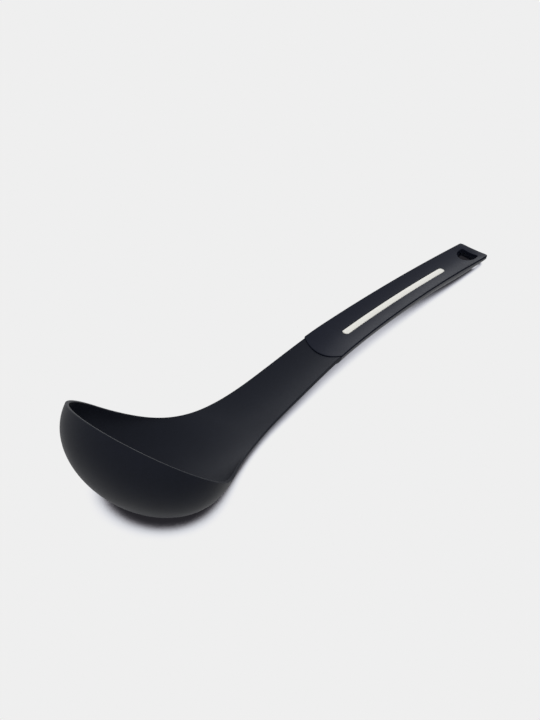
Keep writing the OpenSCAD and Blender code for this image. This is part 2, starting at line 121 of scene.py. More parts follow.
@dataclass(frozen=True)
class LadleLines:
    """The outlines that all the pieces share, seen from the side and from above."""

    bowl_width: float = 88.4
    bowl_length: float = 77.2
    bowl_depth: float = 33.1
    bowl_tilt: float = math.radians(39.7)
    rim_leaves_at: float = math.radians(105)
    neck_low_at: float = 60.6
    neck_low_height: float = 8.8
    shoulder_at: float = 29.1
    shoulder_width: float = 61.8
    shoulder_taper: float = 1.22
    neck_straight_at: float = 95.0
    neck_width: float = 29.2
    neck_taper: float = 0.11
    dish_depth: float = 2.3
    front_x: float = 129.5
    front_radius: float = 25.5
    grip_length: float = 146.2
    crest_after: float = 18.0
    crest_height: float = 16.3
    tail_height: float = 6.2
    tail_slope: float = 0.15
    tail_width: float = 19.4
    tail_bulge: float = 0.1
    tail_corner: float = 1.8
    tail_dish: float = 0.4
    dish_fade: float = 10.0
    tang_end: float = 229.5
    tang_width: float = 8.0
    tang_underside: float = 6.38

    @cached_property
    def rim_way(self) -> Pair:
        """The rim's downhill direction, as x and height."""
        return math.cos(self.bowl_tilt), -math.sin(self.bowl_tilt)

    @cached_property
    def mouth_way(self) -> Pair:
        """The direction that the bowl's mouth faces, as x and height."""
        return math.sin(self.bowl_tilt), math.cos(self.bowl_tilt)

    @cached_property
    def centre_height(self) -> float:
        """Height of the bowl's centre when its lowest point rests on the table."""
        sine, cosine = math.sin(self.bowl_tilt), math.cos(self.bowl_tilt)
        return math.hypot(self.bowl_length / 2 * sine, self.bowl_depth * cosine)

    @cached_property
    def tail_x(self) -> float:
        """Place of the grip's end."""
        return self.front_x + self.grip_length

    @cached_property
    def middle_x(self) -> float:
        """Place of the middle of the ladle's length, which is the model's origin."""
        sine, cosine = math.sin(self.bowl_tilt), math.cos(self.bowl_tilt)
        reach = math.hypot(self.bowl_length / 2 * cosine, self.bowl_depth * sine)
        return (self.tail_x - reach) / 2

    @cached_property
    def leave_x(self) -> float:
        """Place where the rim leaves its flat ellipse."""
        return -self.bowl_length / 2 * math.cos(self.rim_leaves_at) * math.cos(self.bowl_tilt)

    @cached_property
    def side_line(self) -> Spline:
        """The edge's height behind the bowl: the dip of the neck, the crest and the tail."""
        slope = math.tan(self.bowl_tilt)
        return Spline((
            (self.leave_x, self.centre_height - self.leave_x * slope, -slope),
            (self.neck_low_at, self.neck_low_height, 0.0),
            (self.front_x + self.crest_after, self.crest_height, 0.0),
            (self.tail_x, self.tail_height, -self.tail_slope),
        ))

    @cached_property
    def plan_line(self) -> Spline:
        """Half of the width behind the bowl: the shoulder, the neck and the grip."""
        sine, cosine = math.sin(self.rim_leaves_at), math.cos(self.rim_leaves_at)
        spread = self.bowl_width * cosine / (self.bowl_length * math.cos(self.bowl_tilt) * sine)
        return Spline((
            (self.leave_x, self.bowl_width / 2 * sine, spread),
            (self.shoulder_at, self.shoulder_width / 2, -self.shoulder_taper / 2),
            (self.neck_straight_at, self.neck_width / 2, -self.neck_taper / 2),
            (self.tail_x, self.tail_width / 2, 0.0),
        ))

    def edge(self, x: float) -> float:
        """Returns the edge's height at a place along the ladle."""
        if x < self.leave_x:
            return self.centre_height - x * math.tan(self.bowl_tilt)
        return self.side_line.at(x)

    def half(self, x: float) -> float:
        """Returns half of the width behind the bowl."""
        return self.plan_line.at(x)

    def front(self, u: float) -> float:
        """Returns the place of the grip's curved front at a share u of its half width."""
        reach = u * self.half(self.front_x)
        return self.front_x + self.front_radius - math.sqrt(self.front_radius**2 - reach**2)

    def end(self, u: float) -> float:
        """Returns the place of the grip's end, which bulges between two round corners."""
        corner = self.tail_corner / (self.tail_width / 2)
        k = min(1.0, max(0.0, abs(u) - 1 + corner) / corner)
        round_off = self.tail_corner * (1 - math.sqrt(1 - k * k))
        return self.tail_x - self.tail_bulge * u * u - round_off

    def dish(self, x: float) -> float:
        """Returns the depth of the grip's hollow, which fades out at its end."""
        fade = ease(x, self.tail_x - self.dish_fade, self.tail_x)
        return mix(self.dish_depth, self.tail_dish, fade)

    def top(self, x: float, y: float) -> float:
        """Returns the height of the grip's hollowed top."""
        u = min(1.0, abs(y) / self.half(x))
        return self.edge(x) - self.dish(x) * (1 - u * u)

    def placed(self, point: Point) -> Vector:
        """Returns a point in metres, in the model's frame."""
        return Vector(((point[0] - self.middle_x) * MM, point[1] * MM, point[2] * MM))


# Modelling with Blender's operators


def deselect() -> None:
    """Leaves edit mode and selects nothing."""
    if bpy.context.mode != "OBJECT":
        bpy.ops.object.mode_set(mode="OBJECT")
    bpy.ops.object.select_all(action="DESELECT")


def pick(piece: Object) -> Object:
    """Makes a piece the only selected and the active object, and returns it."""
    deselect()
    piece.select_set(True)
    bpy.context.view_layer.objects.active = piece
    return piece


def edit(action: str) -> None:
    """Enters edit mode and selects or deselects the whole mesh.

    Args:
        action: SELECT or DESELECT.
    """
    bpy.ops.object.mode_set(mode="EDIT")
    bpy.ops.mesh.select_all(action=action)


def fresh(name: str) -> Object:
    """Names the primitive that was just added, and returns it."""
    bpy.context.object.name = name
    return bpy.context.object


def lay(piece: Object, spot: Callable[[Vector], Vector]) -> None:
    """Moves each vertex of a mesh.

    Args:
        piece: The mesh's object.
        spot: Gives the new place of a vertex from its old one.
    """
    for vertex in piece.data.vertices:
        vertex.co = spot(vertex.co.copy())
    piece.data.update()


def sheet(name: str, rows: Sequence[Sequence[Vector]]) -> Object:
    """Adds a grid primitive and lays it on rows of points.

    Args:
        name: The new object's name.
        rows: Points row by row, with as many in each.

    Returns:
        The sheet, whose faces all turn the same way.
    """
    long, wide = len(rows) - 1, len(rows[0]) - 1
    deselect()
    bpy.ops.mesh.primitive_grid_add(x_subdivisions=wide, y_subdivisions=long, size=2)
    piece = fresh(name)

    def spot(place: Vector) -> Vector:
        """Returns the point of the row and column that a grid vertex stands for."""
        row = round((place.y + 1) / 2 * long)
        column = round((place.x + 1) / 2 * wide)
        return rows[row][column]

    lay(piece, spot)
    return piece


def joined(name: str, pieces: Sequence[Object]) -> Object:
    """Joins pieces into one object.

    Args:
        name: The joined object's name.
        pieces: The objects to join. The first one stays.

    Returns:
        The joined object.
    """
    deselect()
    for piece in pieces:
        piece.select_set(True)
    bpy.context.view_layer.objects.active = pieces[0]
    if len(pieces) > 1:
        bpy.ops.object.join()
    pieces[0].name = name
    pieces[0].data.name = name
    return pieces[0]


def merged(name: str, pieces: Sequence[Object]) -> Object:
    """Joins pieces as joined() does, and merges the points where they meet."""
    piece = joined(name, pieces)
    edit("SELECT")
    bpy.ops.mesh.remove_doubles(threshold=MERGE * MM)
    deselect()
    return piece


def closed(name: str, upper: Sequence[Object], lower: Sequence[Object]) -> Object:
    """Bridges the outlines of two facing sheets, which makes one solid of them.

    Args:
        name: The solid's name.
        upper: The upper sheet, as one or more objects that meet.
        lower: The lower sheet, whose outline may touch the upper one's.

    Returns:
        The solid, with its faces outwards.
    """
    piece = joined(name, [merged(name, upper), merged("lower", lower)])
    edit("DESELECT")
    bpy.ops.mesh.select_mode(type="EDGE")
    bpy.ops.mesh.select_non_manifold(use_wire=False, use_multi_face=False, use_verts=False,
                                     use_non_contiguous=False)
    bpy.ops.mesh.bridge_edge_loops()
    bpy.ops.mesh.select_all(action="SELECT")
    bpy.ops.mesh.remove_doubles(threshold=MERGE * MM)
    bpy.ops.mesh.normals_make_consistent(inside=False)
    deselect()
    return piece


def soften(piece: Object, width: float, sharper: float, steps: int = 3) -> None:
    """Rounds the sharp edges of a piece.

    Args:
        piece: The piece to round.
        width: Width of the rounding in millimetres.
        sharper: Only edges that turn by more than this many degrees are rounded.
        steps: Faces across each rounding.
    """
    pick(piece)
    edit("DESELECT")
    bpy.ops.mesh.select_mode(type="EDGE")
    bpy.ops.mesh.edges_select_sharp(sharpness=math.radians(sharper))
    bpy.ops.mesh.bevel(
        offset=width * MM, segments=steps, profile=0.5, affect="EDGES", clamp_overlap=False
    )
    deselect()


def cut(piece: Object, tool: Object) -> None:
    """Takes a tool's shape out of a piece, and removes the tool.

    Args:
        piece: The piece to cut.
        tool: A closed mesh that covers what is taken out.
    """
    pick(piece)
    modifier = piece.modifiers.new("cut", "BOOLEAN")
    modifier.operation = "DIFFERENCE"
    modifier.solver = "EXACT"
    modifier.object = tool
    bpy.ops.object.modifier_apply(modifier=modifier.name)
    bpy.data.objects.remove(tool)


def stacked(name: str, rings: Sequence[Sequence[Vector]]) -> Object:
    """Extrudes a circle primitive from ring to ring and closes both ends.

    Args:
        name: The new object's name.
        rings: Rings of points, each with as many points and wound the same way.

    Returns:
        The closed solid.
    """
    deselect()
    bpy.ops.mesh.primitive_circle_add(vertices=len(rings[0]), radius=1, fill_type="NGON")
    piece = fresh(name)
    for ring in rings[1:]:
        bpy.ops.object.mode_set(mode="EDIT")
        bpy.ops.mesh.extrude_region_move(TRANSFORM_OT_translate={"value": (0, 0, 1)})
        bpy.ops.object.mode_set(mode="OBJECT")
    count = len(rings[0])

    def spot(place: Vector) -> Vector:
        """Returns the point for a vertex, from its level and its angle on the circle."""
        turn = math.atan2(place.y, place.x) / math.tau
        return rings[round(place.z)][round(turn * count) % count]

    lay(piece, spot)
    edit("SELECT")
    bpy.ops.mesh.normals_make_consistent(inside=False)
    deselect()
    return piece


def bar(name: str, line: Callable[[float], float], ends: Pair, depths: Pair,
        width: float, lines: LadleLines, cuts: int = 24) -> Object:
    """Bends a cube primitive along a line of heights.

    Args:
        name: The new object's name.
        line: Gives the height that the depths are measured from.
        ends: First and last place of the bar.
        depths: Depths of its top and of its underside below the line.
        width: Width of the bar.
        lines: Places the bar in the model.
        cuts: Cuts along each edge of the cube.

    Returns:
        The bar.
    """
    deselect()
    bpy.ops.mesh.primitive_cube_add(size=2)
    piece = fresh(name)
    bpy.ops.object.mode_set(mode="EDIT")
    bpy.ops.mesh.subdivide(number_cuts=cuts)
    deselect()

    def spot(place: Vector) -> Vector:
        """Returns the bent place of a vertex of the cube."""
        x = mix(ends[0], ends[1], (place.x + 1) / 2)
        depth = mix(depths[1], depths[0], (place.z + 1) / 2)
        return lines.placed((x, place.y * width / 2, line(x) - depth))

    lay(piece, spot)
    return piece


def finished(piece: Object, sharper: float, node: str, material: Material) -> Object:
    """Smooths and dresses a piece, and puts it in the place of its node.

    Args:
        piece: The piece.
        sharper: Edges that turn by more than this many degrees stay crisp.
        node: The model's node that the piece stands for.
        material: The finish.

    Returns:
        The same piece.
    """
    pick(piece)
    bpy.ops.object.shade_smooth_by_angle(angle=math.radians(sharper))
    bpy.ops.object.modifier_add(type="WEIGHTED_NORMAL")
    piece.modifiers[-1].keep_sharp = True
    bpy.ops.object.modifier_apply(modifier=piece.modifiers[-1].name)
    deselect()
    piece.data.materials.clear()
    piece.data.materials.append(material)
    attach(piece, "root")
    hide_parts(node)
    log.info("%s: %d faces", piece.name, len(piece.data.polygons))
    return piece


# Finishes


def linear(code: str) -> tuple[float, float, float, float]:
    """Returns the linear colour, with an alpha of 1, for six hex digits of sRGB."""
    shares = [int(code[i:i + 2], 16) / 255 for i in (0, 2, 4)]
    red, green, blue = (s / 12.92 if s <= 0.04045 else ((s + 0.055) / 1.055) ** 2.4 for s in shares)
    return red, green, blue, 1.0


def add_node(tree: NodeTree, kind: str, inputs: dict | None = None, **settings: object) -> Node:
    """Adds a node with its settings and links.

    Args:
        tree: The material's or the world's node tree.
        kind: The node's type name.
        inputs: Values or output sockets by input name or number.
        settings: Attributes of the node.

    Returns:
        The new node.
    """
    node = tree.nodes.new(kind)
    for key, value in settings.items():
        setattr(node, key, value)
    for key, value in (inputs or {}).items():
        if isinstance(value, NodeSocket):
            tree.links.new(value, node.inputs[key])
        else:
            node.inputs[key].default_value = value
    return node


def emptied(owner: Material | World) -> NodeTree:
    """Clears the nodes of a material or a world, and returns its tree."""
    owner.use_nodes = True
    owner.node_tree.nodes.clear()
    return owner.node_tree


def reckon(tree: NodeTree, operation: str, a: NodeSocket, b: NodeSocket | float) -> NodeSocket:
    """Adds a maths node on two values, and returns its output."""
    return add_node(tree, "ShaderNodeMath", {0: a, 1: b}, operation=operation).outputs["Value"]


def ranged(tree: NodeTree, value: NodeSocket, source: Pair,
           target: Pair = (0.0, 1.0)) -> NodeSocket:
    """Adds a node that turns one range of a value into another, and returns its output."""
    return add_node(tree, "ShaderNodeMapRange",
                    {"Value": value, "From Min": source[0], "From Max": source[1],
                     "To Min": target[0], "To Max": target[1]}).outputs["Result"]


class Gloss(Enum):
    """How shiny a moulded plastic comes out of its mould, as roughness."""

    SPARK_ERODED = 0.52
    SATIN = 0.4
    SMOOTH = 0.3


@dataclass(frozen=True)
class MouldedPlastic:
    """A plastic that is injection moulded, with the grain that its mould leaves."""

    name: str
    colour: str
    mottle_colour: str
    ior: float
    gloss: Gloss
    grain: float
    grain_height: float
    mottle: float
    flow: float = 22.0
    sheen_tint: Point = (1.0, 1.0, 1.0)
    flow_range: Pair = (0.3, 0.7)
    sheen_spread: float = 0.03
    # Upward shares of the normal between which a side turns into the top
    side_turn: Pair = (0.6, 0.85)
    # Index of refraction on upright sides, lowered to paint shade there
    side_shade_ior: float | None = None

    def shine(self, tree: NodeTree) -> float | NodeSocket:
        """Returns the index of refraction, or an output that lowers it on upright sides, which
        paints shade on them.
        """
        if self.side_shade_ior is None:
            return self.ior
        normal = add_node(tree, "ShaderNodeNewGeometry").outputs["Normal"]
        upward = add_node(tree, "ShaderNodeSeparateXYZ", {"Vector": normal}).outputs["Z"]
        return ranged(tree, upward, self.side_turn, (self.side_shade_ior, self.ior))

    def material(self) -> Material:
        """Builds the finish, with fine grain, soft mottling and an uneven sheen."""
        made = bpy.data.materials.new(self.name)
        tree = emptied(made)
        place = add_node(tree, "ShaderNodeTexCoord").outputs["Object"]
        mottle = add_node(tree, "ShaderNodeTexNoise",
                          {"Vector": place, "Scale": 1 / (self.mottle * MM), "Detail": 3.0})
        flow = add_node(tree, "ShaderNodeTexNoise",
                        {"Vector": place, "Scale": 1 / (self.flow * MM), "Detail": 2.0})
        grain = add_node(tree, "ShaderNodeTexNoise",
                         {"Vector": place, "Scale": 1 / (self.grain * MM), "Detail": 2.0})
        colour = add_node(tree, "ShaderNodeMix",
                          {0: mottle.outputs["Fac"], 6: linear(self.colour),
                           7: linear(self.mottle_colour)}, data_type="RGBA")
        dull, spread = self.gloss.value, self.sheen_spread
        sheen = ranged(tree, flow.outputs["Fac"], self.flow_range, (dull - spread, dull + spread))
        bump = add_node(tree, "ShaderNodeBump",
                        {"Height": grain.outputs["Fac"], "Strength": 1.0,
                         "Distance": self.grain_height * MM})
        shader = add_node(tree, "ShaderNodeBsdfPrincipled",
                          {"Base Color": colour.outputs[2], "Roughness": sheen,
                           "Normal": bump.outputs["Normal"], "IOR": self.shine(tree),
                           "Specular Tint": (*self.sheen_tint, 1.0)})
        add_node(tree, "ShaderNodeOutputMaterial", {"Surface": shader.outputs["BSDF"]})
        return made


# Both blacks tint their reflections a little blue, a painted blue in their sheen.
BLUE_PAINTED_SHEEN = (0.92, 0.96, 1.12)
# Glass-filled nylon from a spark-eroded mould: dull, faintly mottled, with a grain under half a
# millimetre, drawn a little coarser than it is so that it still shows.
BLACK_NYLON = MouldedPlastic("black_nylon_spark_eroded", "0B0D12", "0F1118", 1.235,
                             Gloss.SPARK_ERODED, grain=0.5, grain_height=0.03, mottle=3.0,
                             sheen_tint=BLUE_PAINTED_SHEEN)
# ABS with a satin texture: finer grain, and a softer, brighter sheen than the nylon. The upright
# sides of the upper shell reflect less, a painted shade that draws a dark line along the grip.
BLACK_ABS = MouldedPlastic("black_abs_satin_painted_side_shade", "12141C", "161821", 1.19,
                           Gloss.SATIN, grain=0.4, grain_height=0.006, mottle=4.0,
                           sheen_tint=BLUE_PAINTED_SHEEN, side_shade_ior=1.02)
# The same ABS on the lower shell, with a higher index of refraction: a painted reflection that
# makes its flank mirror the table more brightly.
BLACK_ABS_LOWER_BRIGHT = MouldedPlastic("black_abs_lower_painted_reflection", "12141C", "161821", 1.32,
                                 Gloss.SATIN, grain=0.4, grain_height=0.006, mottle=4.0,
                                 sheen_tint=BLUE_PAINTED_SHEEN)
# Cream ABS from a polished mould: nearly smooth, so that its round edge shades softly.
CREAM_ABS = MouldedPlastic("cream_abs_smooth", "E4E0D3", "DFDBCD", 1.4,
                           Gloss.SMOOTH, grain=0.6, grain_height=0.003, mottle=6.0)


# Pieces


@dataclass
class LadleHead:
    """The bowl, the neck and the tang, which are one moulding."""

    lines: LadleLines
    bowl_wall: float = 1.9
    bowl_fullness: float = 0.93
    neck_thickness: float = 3.0
    neck_root_thickness: float = 4.2
    neck_side: float = 1.4
    neck_root_side: float = 2.0
    neck_lip: float = 0.2
    grip_step: float = 0.5
    side_step: float = 0.3
    seam_gap: float = 0.08
    edge_round: float = 0.4
    tang_top: float = 4.18
    tang_start: float = 121.5
    round_over: float = 42.0
    crisp_over: float = 35.0
    columns: int = 48
    rim_rows: int = 6
    back_rows: int = 44
    neck_rows: int = 30

    @cached_property
    def heel(self) -> Pair:
        """Place of the bowl's lowest point, along the rim's slope and along the ladle."""
        lines = self.lines
        half_length = lines.bowl_length / 2
        turn = math.atan(half_length * math.tan(lines.bowl_tilt) / lines.bowl_depth)
        t = half_length * math.sin(turn)
        return t, t * math.cos(lines.bowl_tilt)

    @cached_property
    def back_keel(self) -> tuple[Spline, Spline]:
        """The keel behind the lowest point, as x and height against a share of the way."""
        lines, (low_t, heel_x) = self.lines, self.heel
        low = self.bowl_keel(low_t)
        rate = math.hypot(lines.bowl_depth, lines.bowl_length / 2 * math.tan(lines.bowl_tilt))
        rate /= lines.bowl_depth * math.cos(lines.bowl_tilt)
        span = lines.neck_low_at - heel_x
        under = lines.neck_low_height - lines.dish_depth - self.neck_thickness
        return (Spline(((0.0, low[0], span * rate), (1.0, lines.neck_low_at, span))),
                Spline(((0.0, low[1], 0.0), (1.0, under, 0.0))))

    def in_rim(self, t: float, depth: float) -> Pair:
        """Returns x and height of a place t along the rim's slope and a depth below it."""
        along, mouth = self.lines.rim_way, self.lines.mouth_way
        return (t * along[0] - depth * mouth[0],
                self.lines.centre_height + t * along[1] - depth * mouth[1])

    def bowl_keel(self, t: float) -> Pair:
        """Returns the bowl's keel at a place along the rim's slope."""
        round_off = max(0.0, 1 - (2 * t / self.lines.bowl_length) ** 2)
        return self.in_rim(t, self.lines.bowl_depth * math.sqrt(round_off))

    def keel(self, x: float) -> Pair:
        """Returns the keel's x and height for a place along the edge."""
        if x < self.heel[1]:
            return self.bowl_keel(x / math.cos(self.lines.bowl_tilt))
        share = (x - self.heel[1]) / (self.lines.neck_low_at - self.heel[1])
        return self.back_keel[0].at(share), self.back_keel[1].at(share)

    def keel_inward(self, x: float) -> Pair:
        """Returns the direction from the keel into the bowl, square to the keel."""
        a, b = self.keel(x - 0.05), self.keel(x + 0.05)
        length = math.hypot(b[0] - a[0], b[1] - a[1])
        return (a[1] - b[1]) / length, (b[0] - a[0]) / length

    def sagged(self, edge: Pair, low: Pair, half: float, power: float, flat: float) -> list[Vector]:
        """Lays a section that sags from its edge to its keel.

        Args:
            edge: Edge point, as x and height.
            low: Keel point.
            half: Half of the width.
            power: Fullness of the sag.
            flat: How the columns are spaced.

        Returns:
            The section's points.
        """
        points = []
        for u in spaced(self.columns, flat):
            s = math.sqrt(max(0.0, 1 - u * u)) ** power
            points.append(self.lines.placed((mix(edge[0], low[0], s), half * u,
                                             mix(edge[1], low[1], s))))
        return points

    def rim_row(self, a: float, wall: float) -> list[Vector]:
        """Lays a section of the flat-rimmed bowl.

        Args:
            a: Angle round the rim from its front.
            wall: How far the section lies inside the outer face.

        Returns:
            The section's points.
        """
        lines = self.lines
        t = -(lines.bowl_length / 2 - wall) * math.cos(a)
        edge = self.in_rim(t, 0)
        low = self.in_rim(t, (lines.bowl_depth - wall) * math.sin(a))
        half = (lines.bowl_width / 2 - wall) * math.sin(a)
        return self.sagged(edge, low, half, self.bowl_fullness, 0.0)

    def back_row(self, x: float, inside: bool) -> list[Vector]:
        """Lays a section where the bowl runs out into the neck.

        Args:
            x: Place along the edge.
            inside: Whether it is the inner face.

        Returns:
            The section's points.
        """
        lines = self.lines
        done = ease(x, lines.leave_x, lines.neck_low_at)
        power = mix(self.bowl_fullness, 2.0, ease(x, self.heel[1] / 2, lines.neck_low_at))
        half, height, low = lines.half(x), lines.edge(x), self.keel(x)
        if not inside:
            return self.sagged((x, height - self.neck_side * done), low, half, power, done)
        thick = mix(self.bowl_wall, self.neck_thickness, ease(x, self.heel[1], lines.neck_low_at))
        inward = self.keel_inward(x)
        low = (low[0] + thick * inward[0], low[1] + thick * inward[1])
        shift = self.bowl_wall * math.cos(lines.rim_leaves_at) * (1 - done)
        edge = (x + shift * lines.rim_way[0], height + shift * lines.rim_way[1])
        lip = mix(self.bowl_wall * math.sin(lines.rim_leaves_at), self.neck_lip, done)
        return self.sagged(edge, low, half - lip, power, done)

    def neck_row(self, share: float, top: bool) -> list[Vector]:
        """Lays a section of the neck.

        Args:
            share: Share of the way from the neck's lowest place to the grip.
            top: Whether it is the hollowed top.

        Returns:
            The section's points.
        """
        lines, points = self.lines, []
        for u in spaced(self.columns, 1.0):
            x = mix(lines.neck_low_at, lines.front(u) - self.seam_gap, share)
            root = ease(x, lines.neck_low_at, lines.front_x)
            edge = lines.edge(x) - self.grip_step * root
            half = lines.half(x) - self.side_step * root
            side = mix(self.neck_side, self.neck_root_side, root)
            thick = mix(self.neck_thickness, self.neck_root_thickness, root)
            if top:
                point = (x, u * (half - self.neck_lip), edge - lines.dish_depth * (1 - u * u))
            else:
                sag = lines.dish_depth + thick - side
                point = (x, u * half, edge - side - sag * (1 - u * u))
            points.append(lines.placed(point))
        return points

    def dome(self, name: str, wall: float) -> Object:
        """Makes the round front of the bowl from a quarter of a sphere primitive.

        Args:
            name: The new object's name.
            wall: How far the face lies inside the outer face.

        Returns:
            The dome, open along the rim and at the bowl's middle.
        """
        lines = self.lines
        deselect()
        bpy.ops.mesh.primitive_uv_sphere_add(segments=2 * self.columns, ring_count=self.columns,
                                             radius=1)
        piece = fresh(name)
        edit("DESELECT")
        bpy.ops.object.mode_set(mode="OBJECT")
        for face in piece.data.polygons:
            face.select = face.center.z > 0 or face.center.x > 0
        bpy.ops.object.mode_set(mode="EDIT")
        bpy.ops.mesh.delete(type="FACE")
        deselect()

        def spot(place: Vector) -> Vector:
            """Returns the place on the bowl that a place on the sphere stands for."""
            ring = math.sqrt(max(0.0, 1 - min(0.0, place.x) ** 2))
            sag = ring * (max(0.0, -place.z) / ring) ** self.bowl_fullness if ring > 1e-6 else 0.0
            x, z = self.in_rim((lines.bowl_length / 2 - wall) * min(0.0, place.x),
                               (lines.bowl_depth - wall) * sag)
            return lines.placed((x, (lines.bowl_width / 2 - wall) * place.y, z))

        lay(piece, spot)
        return piece

    def face(self, name: str, wall: float) -> list[Object]:
        """Makes the inner or the outer face of the whole moulding.

        Args:
            name: Start of the new objects' names.
            wall: 0 for the outer face, or the wall's thickness for the inner one.

        Returns:
            The dome and the sheet that meets it.
        """
        lines, inside = self.lines, wall > 0
        quarter = math.pi / 2
        rows = [self.rim_row(mix(quarter, lines.rim_leaves_at, i / self.rim_rows), wall)
                for i in range(self.rim_rows)]
        rows += [self.back_row(mix(lines.leave_x, lines.neck_low_at, i / self.back_rows), inside)
                 for i in range(self.back_rows)]
        rows += [self.neck_row(i / self.neck_rows, inside) for i in range(self.neck_rows + 1)]
        return [self.dome(name + "_dome", wall), sheet(name + "_run", rows)]

    def build(self, material: Material) -> Object:
        """Makes the moulding in its finish, and returns it."""
        lines = self.lines
        piece = closed("ladle_moulding", self.face("inside", self.bowl_wall),
                       self.face("outside", 0.0))
        soften(piece, self.edge_round, self.round_over)
        tang = bar("tang", lines.edge, (self.tang_start, lines.tang_end),
                   (self.tang_top, lines.tang_underside), lines.tang_width, lines)
        joined("ladle_moulding", [piece, tang])
        return finished(piece, self.crisp_over, "ladle_head", material)


@dataclass
class Grip:
    """The two shells that close round the tang, and the stripe in the upper one."""

    lines: LadleLines
    grip_depth: float = 8.6
    belly_after: float = 90.0
    belly_depth: float = 8.7
    base_fullness: float = 0.42
    belly_fullness: float = 0.45
    tail_fullness: float = 0.45
    end_fullness: float = 0.35
    cover_side: float = 1.3
    cover_thickness: float = 1.8
    base_inset: float = 0.25
    seam_gap: float = 0.08
    rest_before_end: float = 17.0
    tail_lift: float = 0.4
    end_face: float = 1.6
    tail_rounding: float = 3.2
    hole_width: float = 11.4
    hole_length: float = 9.0
    hole_margin: float = 4.6
    hole_corner: float = 1.0
    hole_round: float = 0.35
    stripe_width: float = 4.3
    stripe_length: float = 92.0
    stripe_from_front: float = 21.6
    stripe_depth: float = 0.9
    stripe_crown: float = 0.2
    stripe_clearance: float = 0.08
    stripe_round: float = 0.55
    edge_round: float = 0.4
    cover_flat: float = 0.65
    channel_clearance: float = 0.15
    channel_top: float = 1.0
    channel_before: float = 3.0
    recess_above: float = 2.0
    round_over: float = 50.0
    crisp_over: float = 28.0
    stripe_round_over: float = 60.0
    stripe_crisp_over: float = 50.0
    columns: int = 48
    rows: int = 80
    end_rows: int = 14
    hole_steps: tuple[int, int] = (8, 40)
    hole_bends: tuple[int, ...] = (76, 58, 40, 20, 0)
    stripe_steps: tuple[int, int, int] = (8, 60, 16)

    @cached_property
    def shares(self) -> list[float]:
        """Stations along the grip, closer where its end is rounded."""
        tail = self.tail_rounding / self.lines.grip_length
        run = [i / self.rows * (1 - tail) for i in range(self.rows + 1)]
        return run + [1 - tail * (1 - math.sin(math.pi / 2 * i / self.end_rows))
                      for i in range(1, self.end_rows + 1)]

    @cached_property
    def belly_x(self) -> float:
        """Place where the underside is deepest below the edge."""
        return self.lines.front_x + self.belly_after

    @cached_property
    def rest_x(self) -> float:
        """Place where the grip rests on the table."""
        return self.lines.tail_x - self.rest_before_end

    @cached_property
    def under_line(self) -> Spline:
        """The underside's height along its middle, as far as the place where it rests."""
        knots = []
        for x, depth in ((self.lines.front_x, self.grip_depth), (self.belly_x, self.belly_depth)):
            slope = self.lines.edge(x + 0.5) - self.lines.edge(x - 0.5)
            knots.append((x, self.lines.edge(x) - depth, slope))
        return Spline((*knots, (self.rest_x, 0.0, 0.0)))

    def underside(self, x: float) -> float:
        """Returns the height of the underside along its middle."""
        if x < self.rest_x:
            return self.under_line.at(x)
        return self.tail_lift * ((x - self.rest_x) / self.rest_before_end) ** 2

    def fullness(self, x: float) -> float:
        """Returns how full the underside's section is, where 1 is a parabola."""
        if x < self.belly_x:
            return mix(self.base_fullness, self.belly_fullness,
                       ease(x, self.lines.front_x, self.belly_x))
        return mix(self.belly_fullness, self.tail_fullness, ease(x, self.belly_x, self.rest_x))

    def cover_under(self, x: float, u: float) -> float:
        """Returns the depth of the upper shell's underside below the edge."""
        return mix(self.cover_side, self.lines.dish(x) + self.cover_thickness, 1 - u * u)

    def base_under(self, x: float, u: float) -> float:
        """Returns the height of the lower shell's underside."""
        lines = self.lines
        past = max(0.0, x - lines.end(u) + self.tail_rounding) / self.tail_rounding
        bend = math.sqrt(max(0.0, 1 - past * past))
        side = self.cover_side + self.seam_gap
        full = lines.edge(x) - side - self.underside(x)
        least = lines.dish(x) + self.cover_thickness - self.cover_side + self.end_face
        sag = mix(least, full, bend)
        curve = max(0.0, 1 - u * u) ** mix(self.end_fullness, self.fullness(x), bend)
        return lines.edge(x) - side - sag * curve

    def skin(self, name: str, shares: Sequence[float], flat: float, inset: float,
             height: Callable[[float, float], float]) -> Object:
        """Makes one face of a shell.

        Args:
            name: The new object's name.
            shares: Stations along the grip, from 0 to 1.
            flat: How the columns are spaced.
            inset: How far its sides lie inside the grip's outline.
            height: Gives the face's height at a place and a share of the half width.

        Returns:
            The face.
        """
        lines, rows = self.lines, []
        for share in shares:
            row = []
            for u in spaced(self.columns, flat):
                x = mix(lines.front(u), lines.end(u), share)
                row.append(lines.placed((x, u * (lines.half(x) - inset), height(x, u))))
            rows.append(row)
        return sheet(name, rows)

    def hole_ring(self, out: float, height: Callable[[float, float], float]) -> list[Vector]:
        """Lays a ring round the D-shaped hole.

        Args:
            out: How far the ring lies outside the hole's wall.
            height: Gives the ring's height at a place.

        Returns:
            The ring's points.
        """
        radius, corner = self.hole_width / 2, self.hole_corner
        few, many = self.hole_steps
        flat_x = self.lines.tail_x - self.hole_margin
        round_x = flat_x - self.hole_length + radius
        arcs = [(flat_x - corner, radius - corner, corner, 0.0, 90.0, few),
                (round_x, 0.0, radius, 90.0, 270.0, many),
                (flat_x - corner, corner - radius, corner, 270.0, 360.0, few)]
        ring = []
        for x, y, r, start, stop, steps in arcs:
            for i in range(steps + 1):
                turn = math.radians(mix(start, stop, i / steps))
                px, py = x + (r + out) * math.cos(turn), y + (r + out) * math.sin(turn)
                ring.append(self.lines.placed((px, py, height(px, py))))
        return ring

    def hole_tool(self) -> Object:
        """Makes the closed tool that cuts the hanging hole and rounds both of its edges."""
        lines, r = self.lines, self.hole_round
        flare, lift, reach = 0.5, 0.12, 4.0
        bends = [math.radians(b) for b in self.hole_bends]
        out = r * (1 - math.cos(bends[0])) + flare

        def below(x: float, y: float) -> float:
            """Returns the height of the lower shell's underside at a place."""
            inner = lines.half(x) - self.base_inset
            return self.base_under(x, max(-1.0, min(1.0, y / inner)))

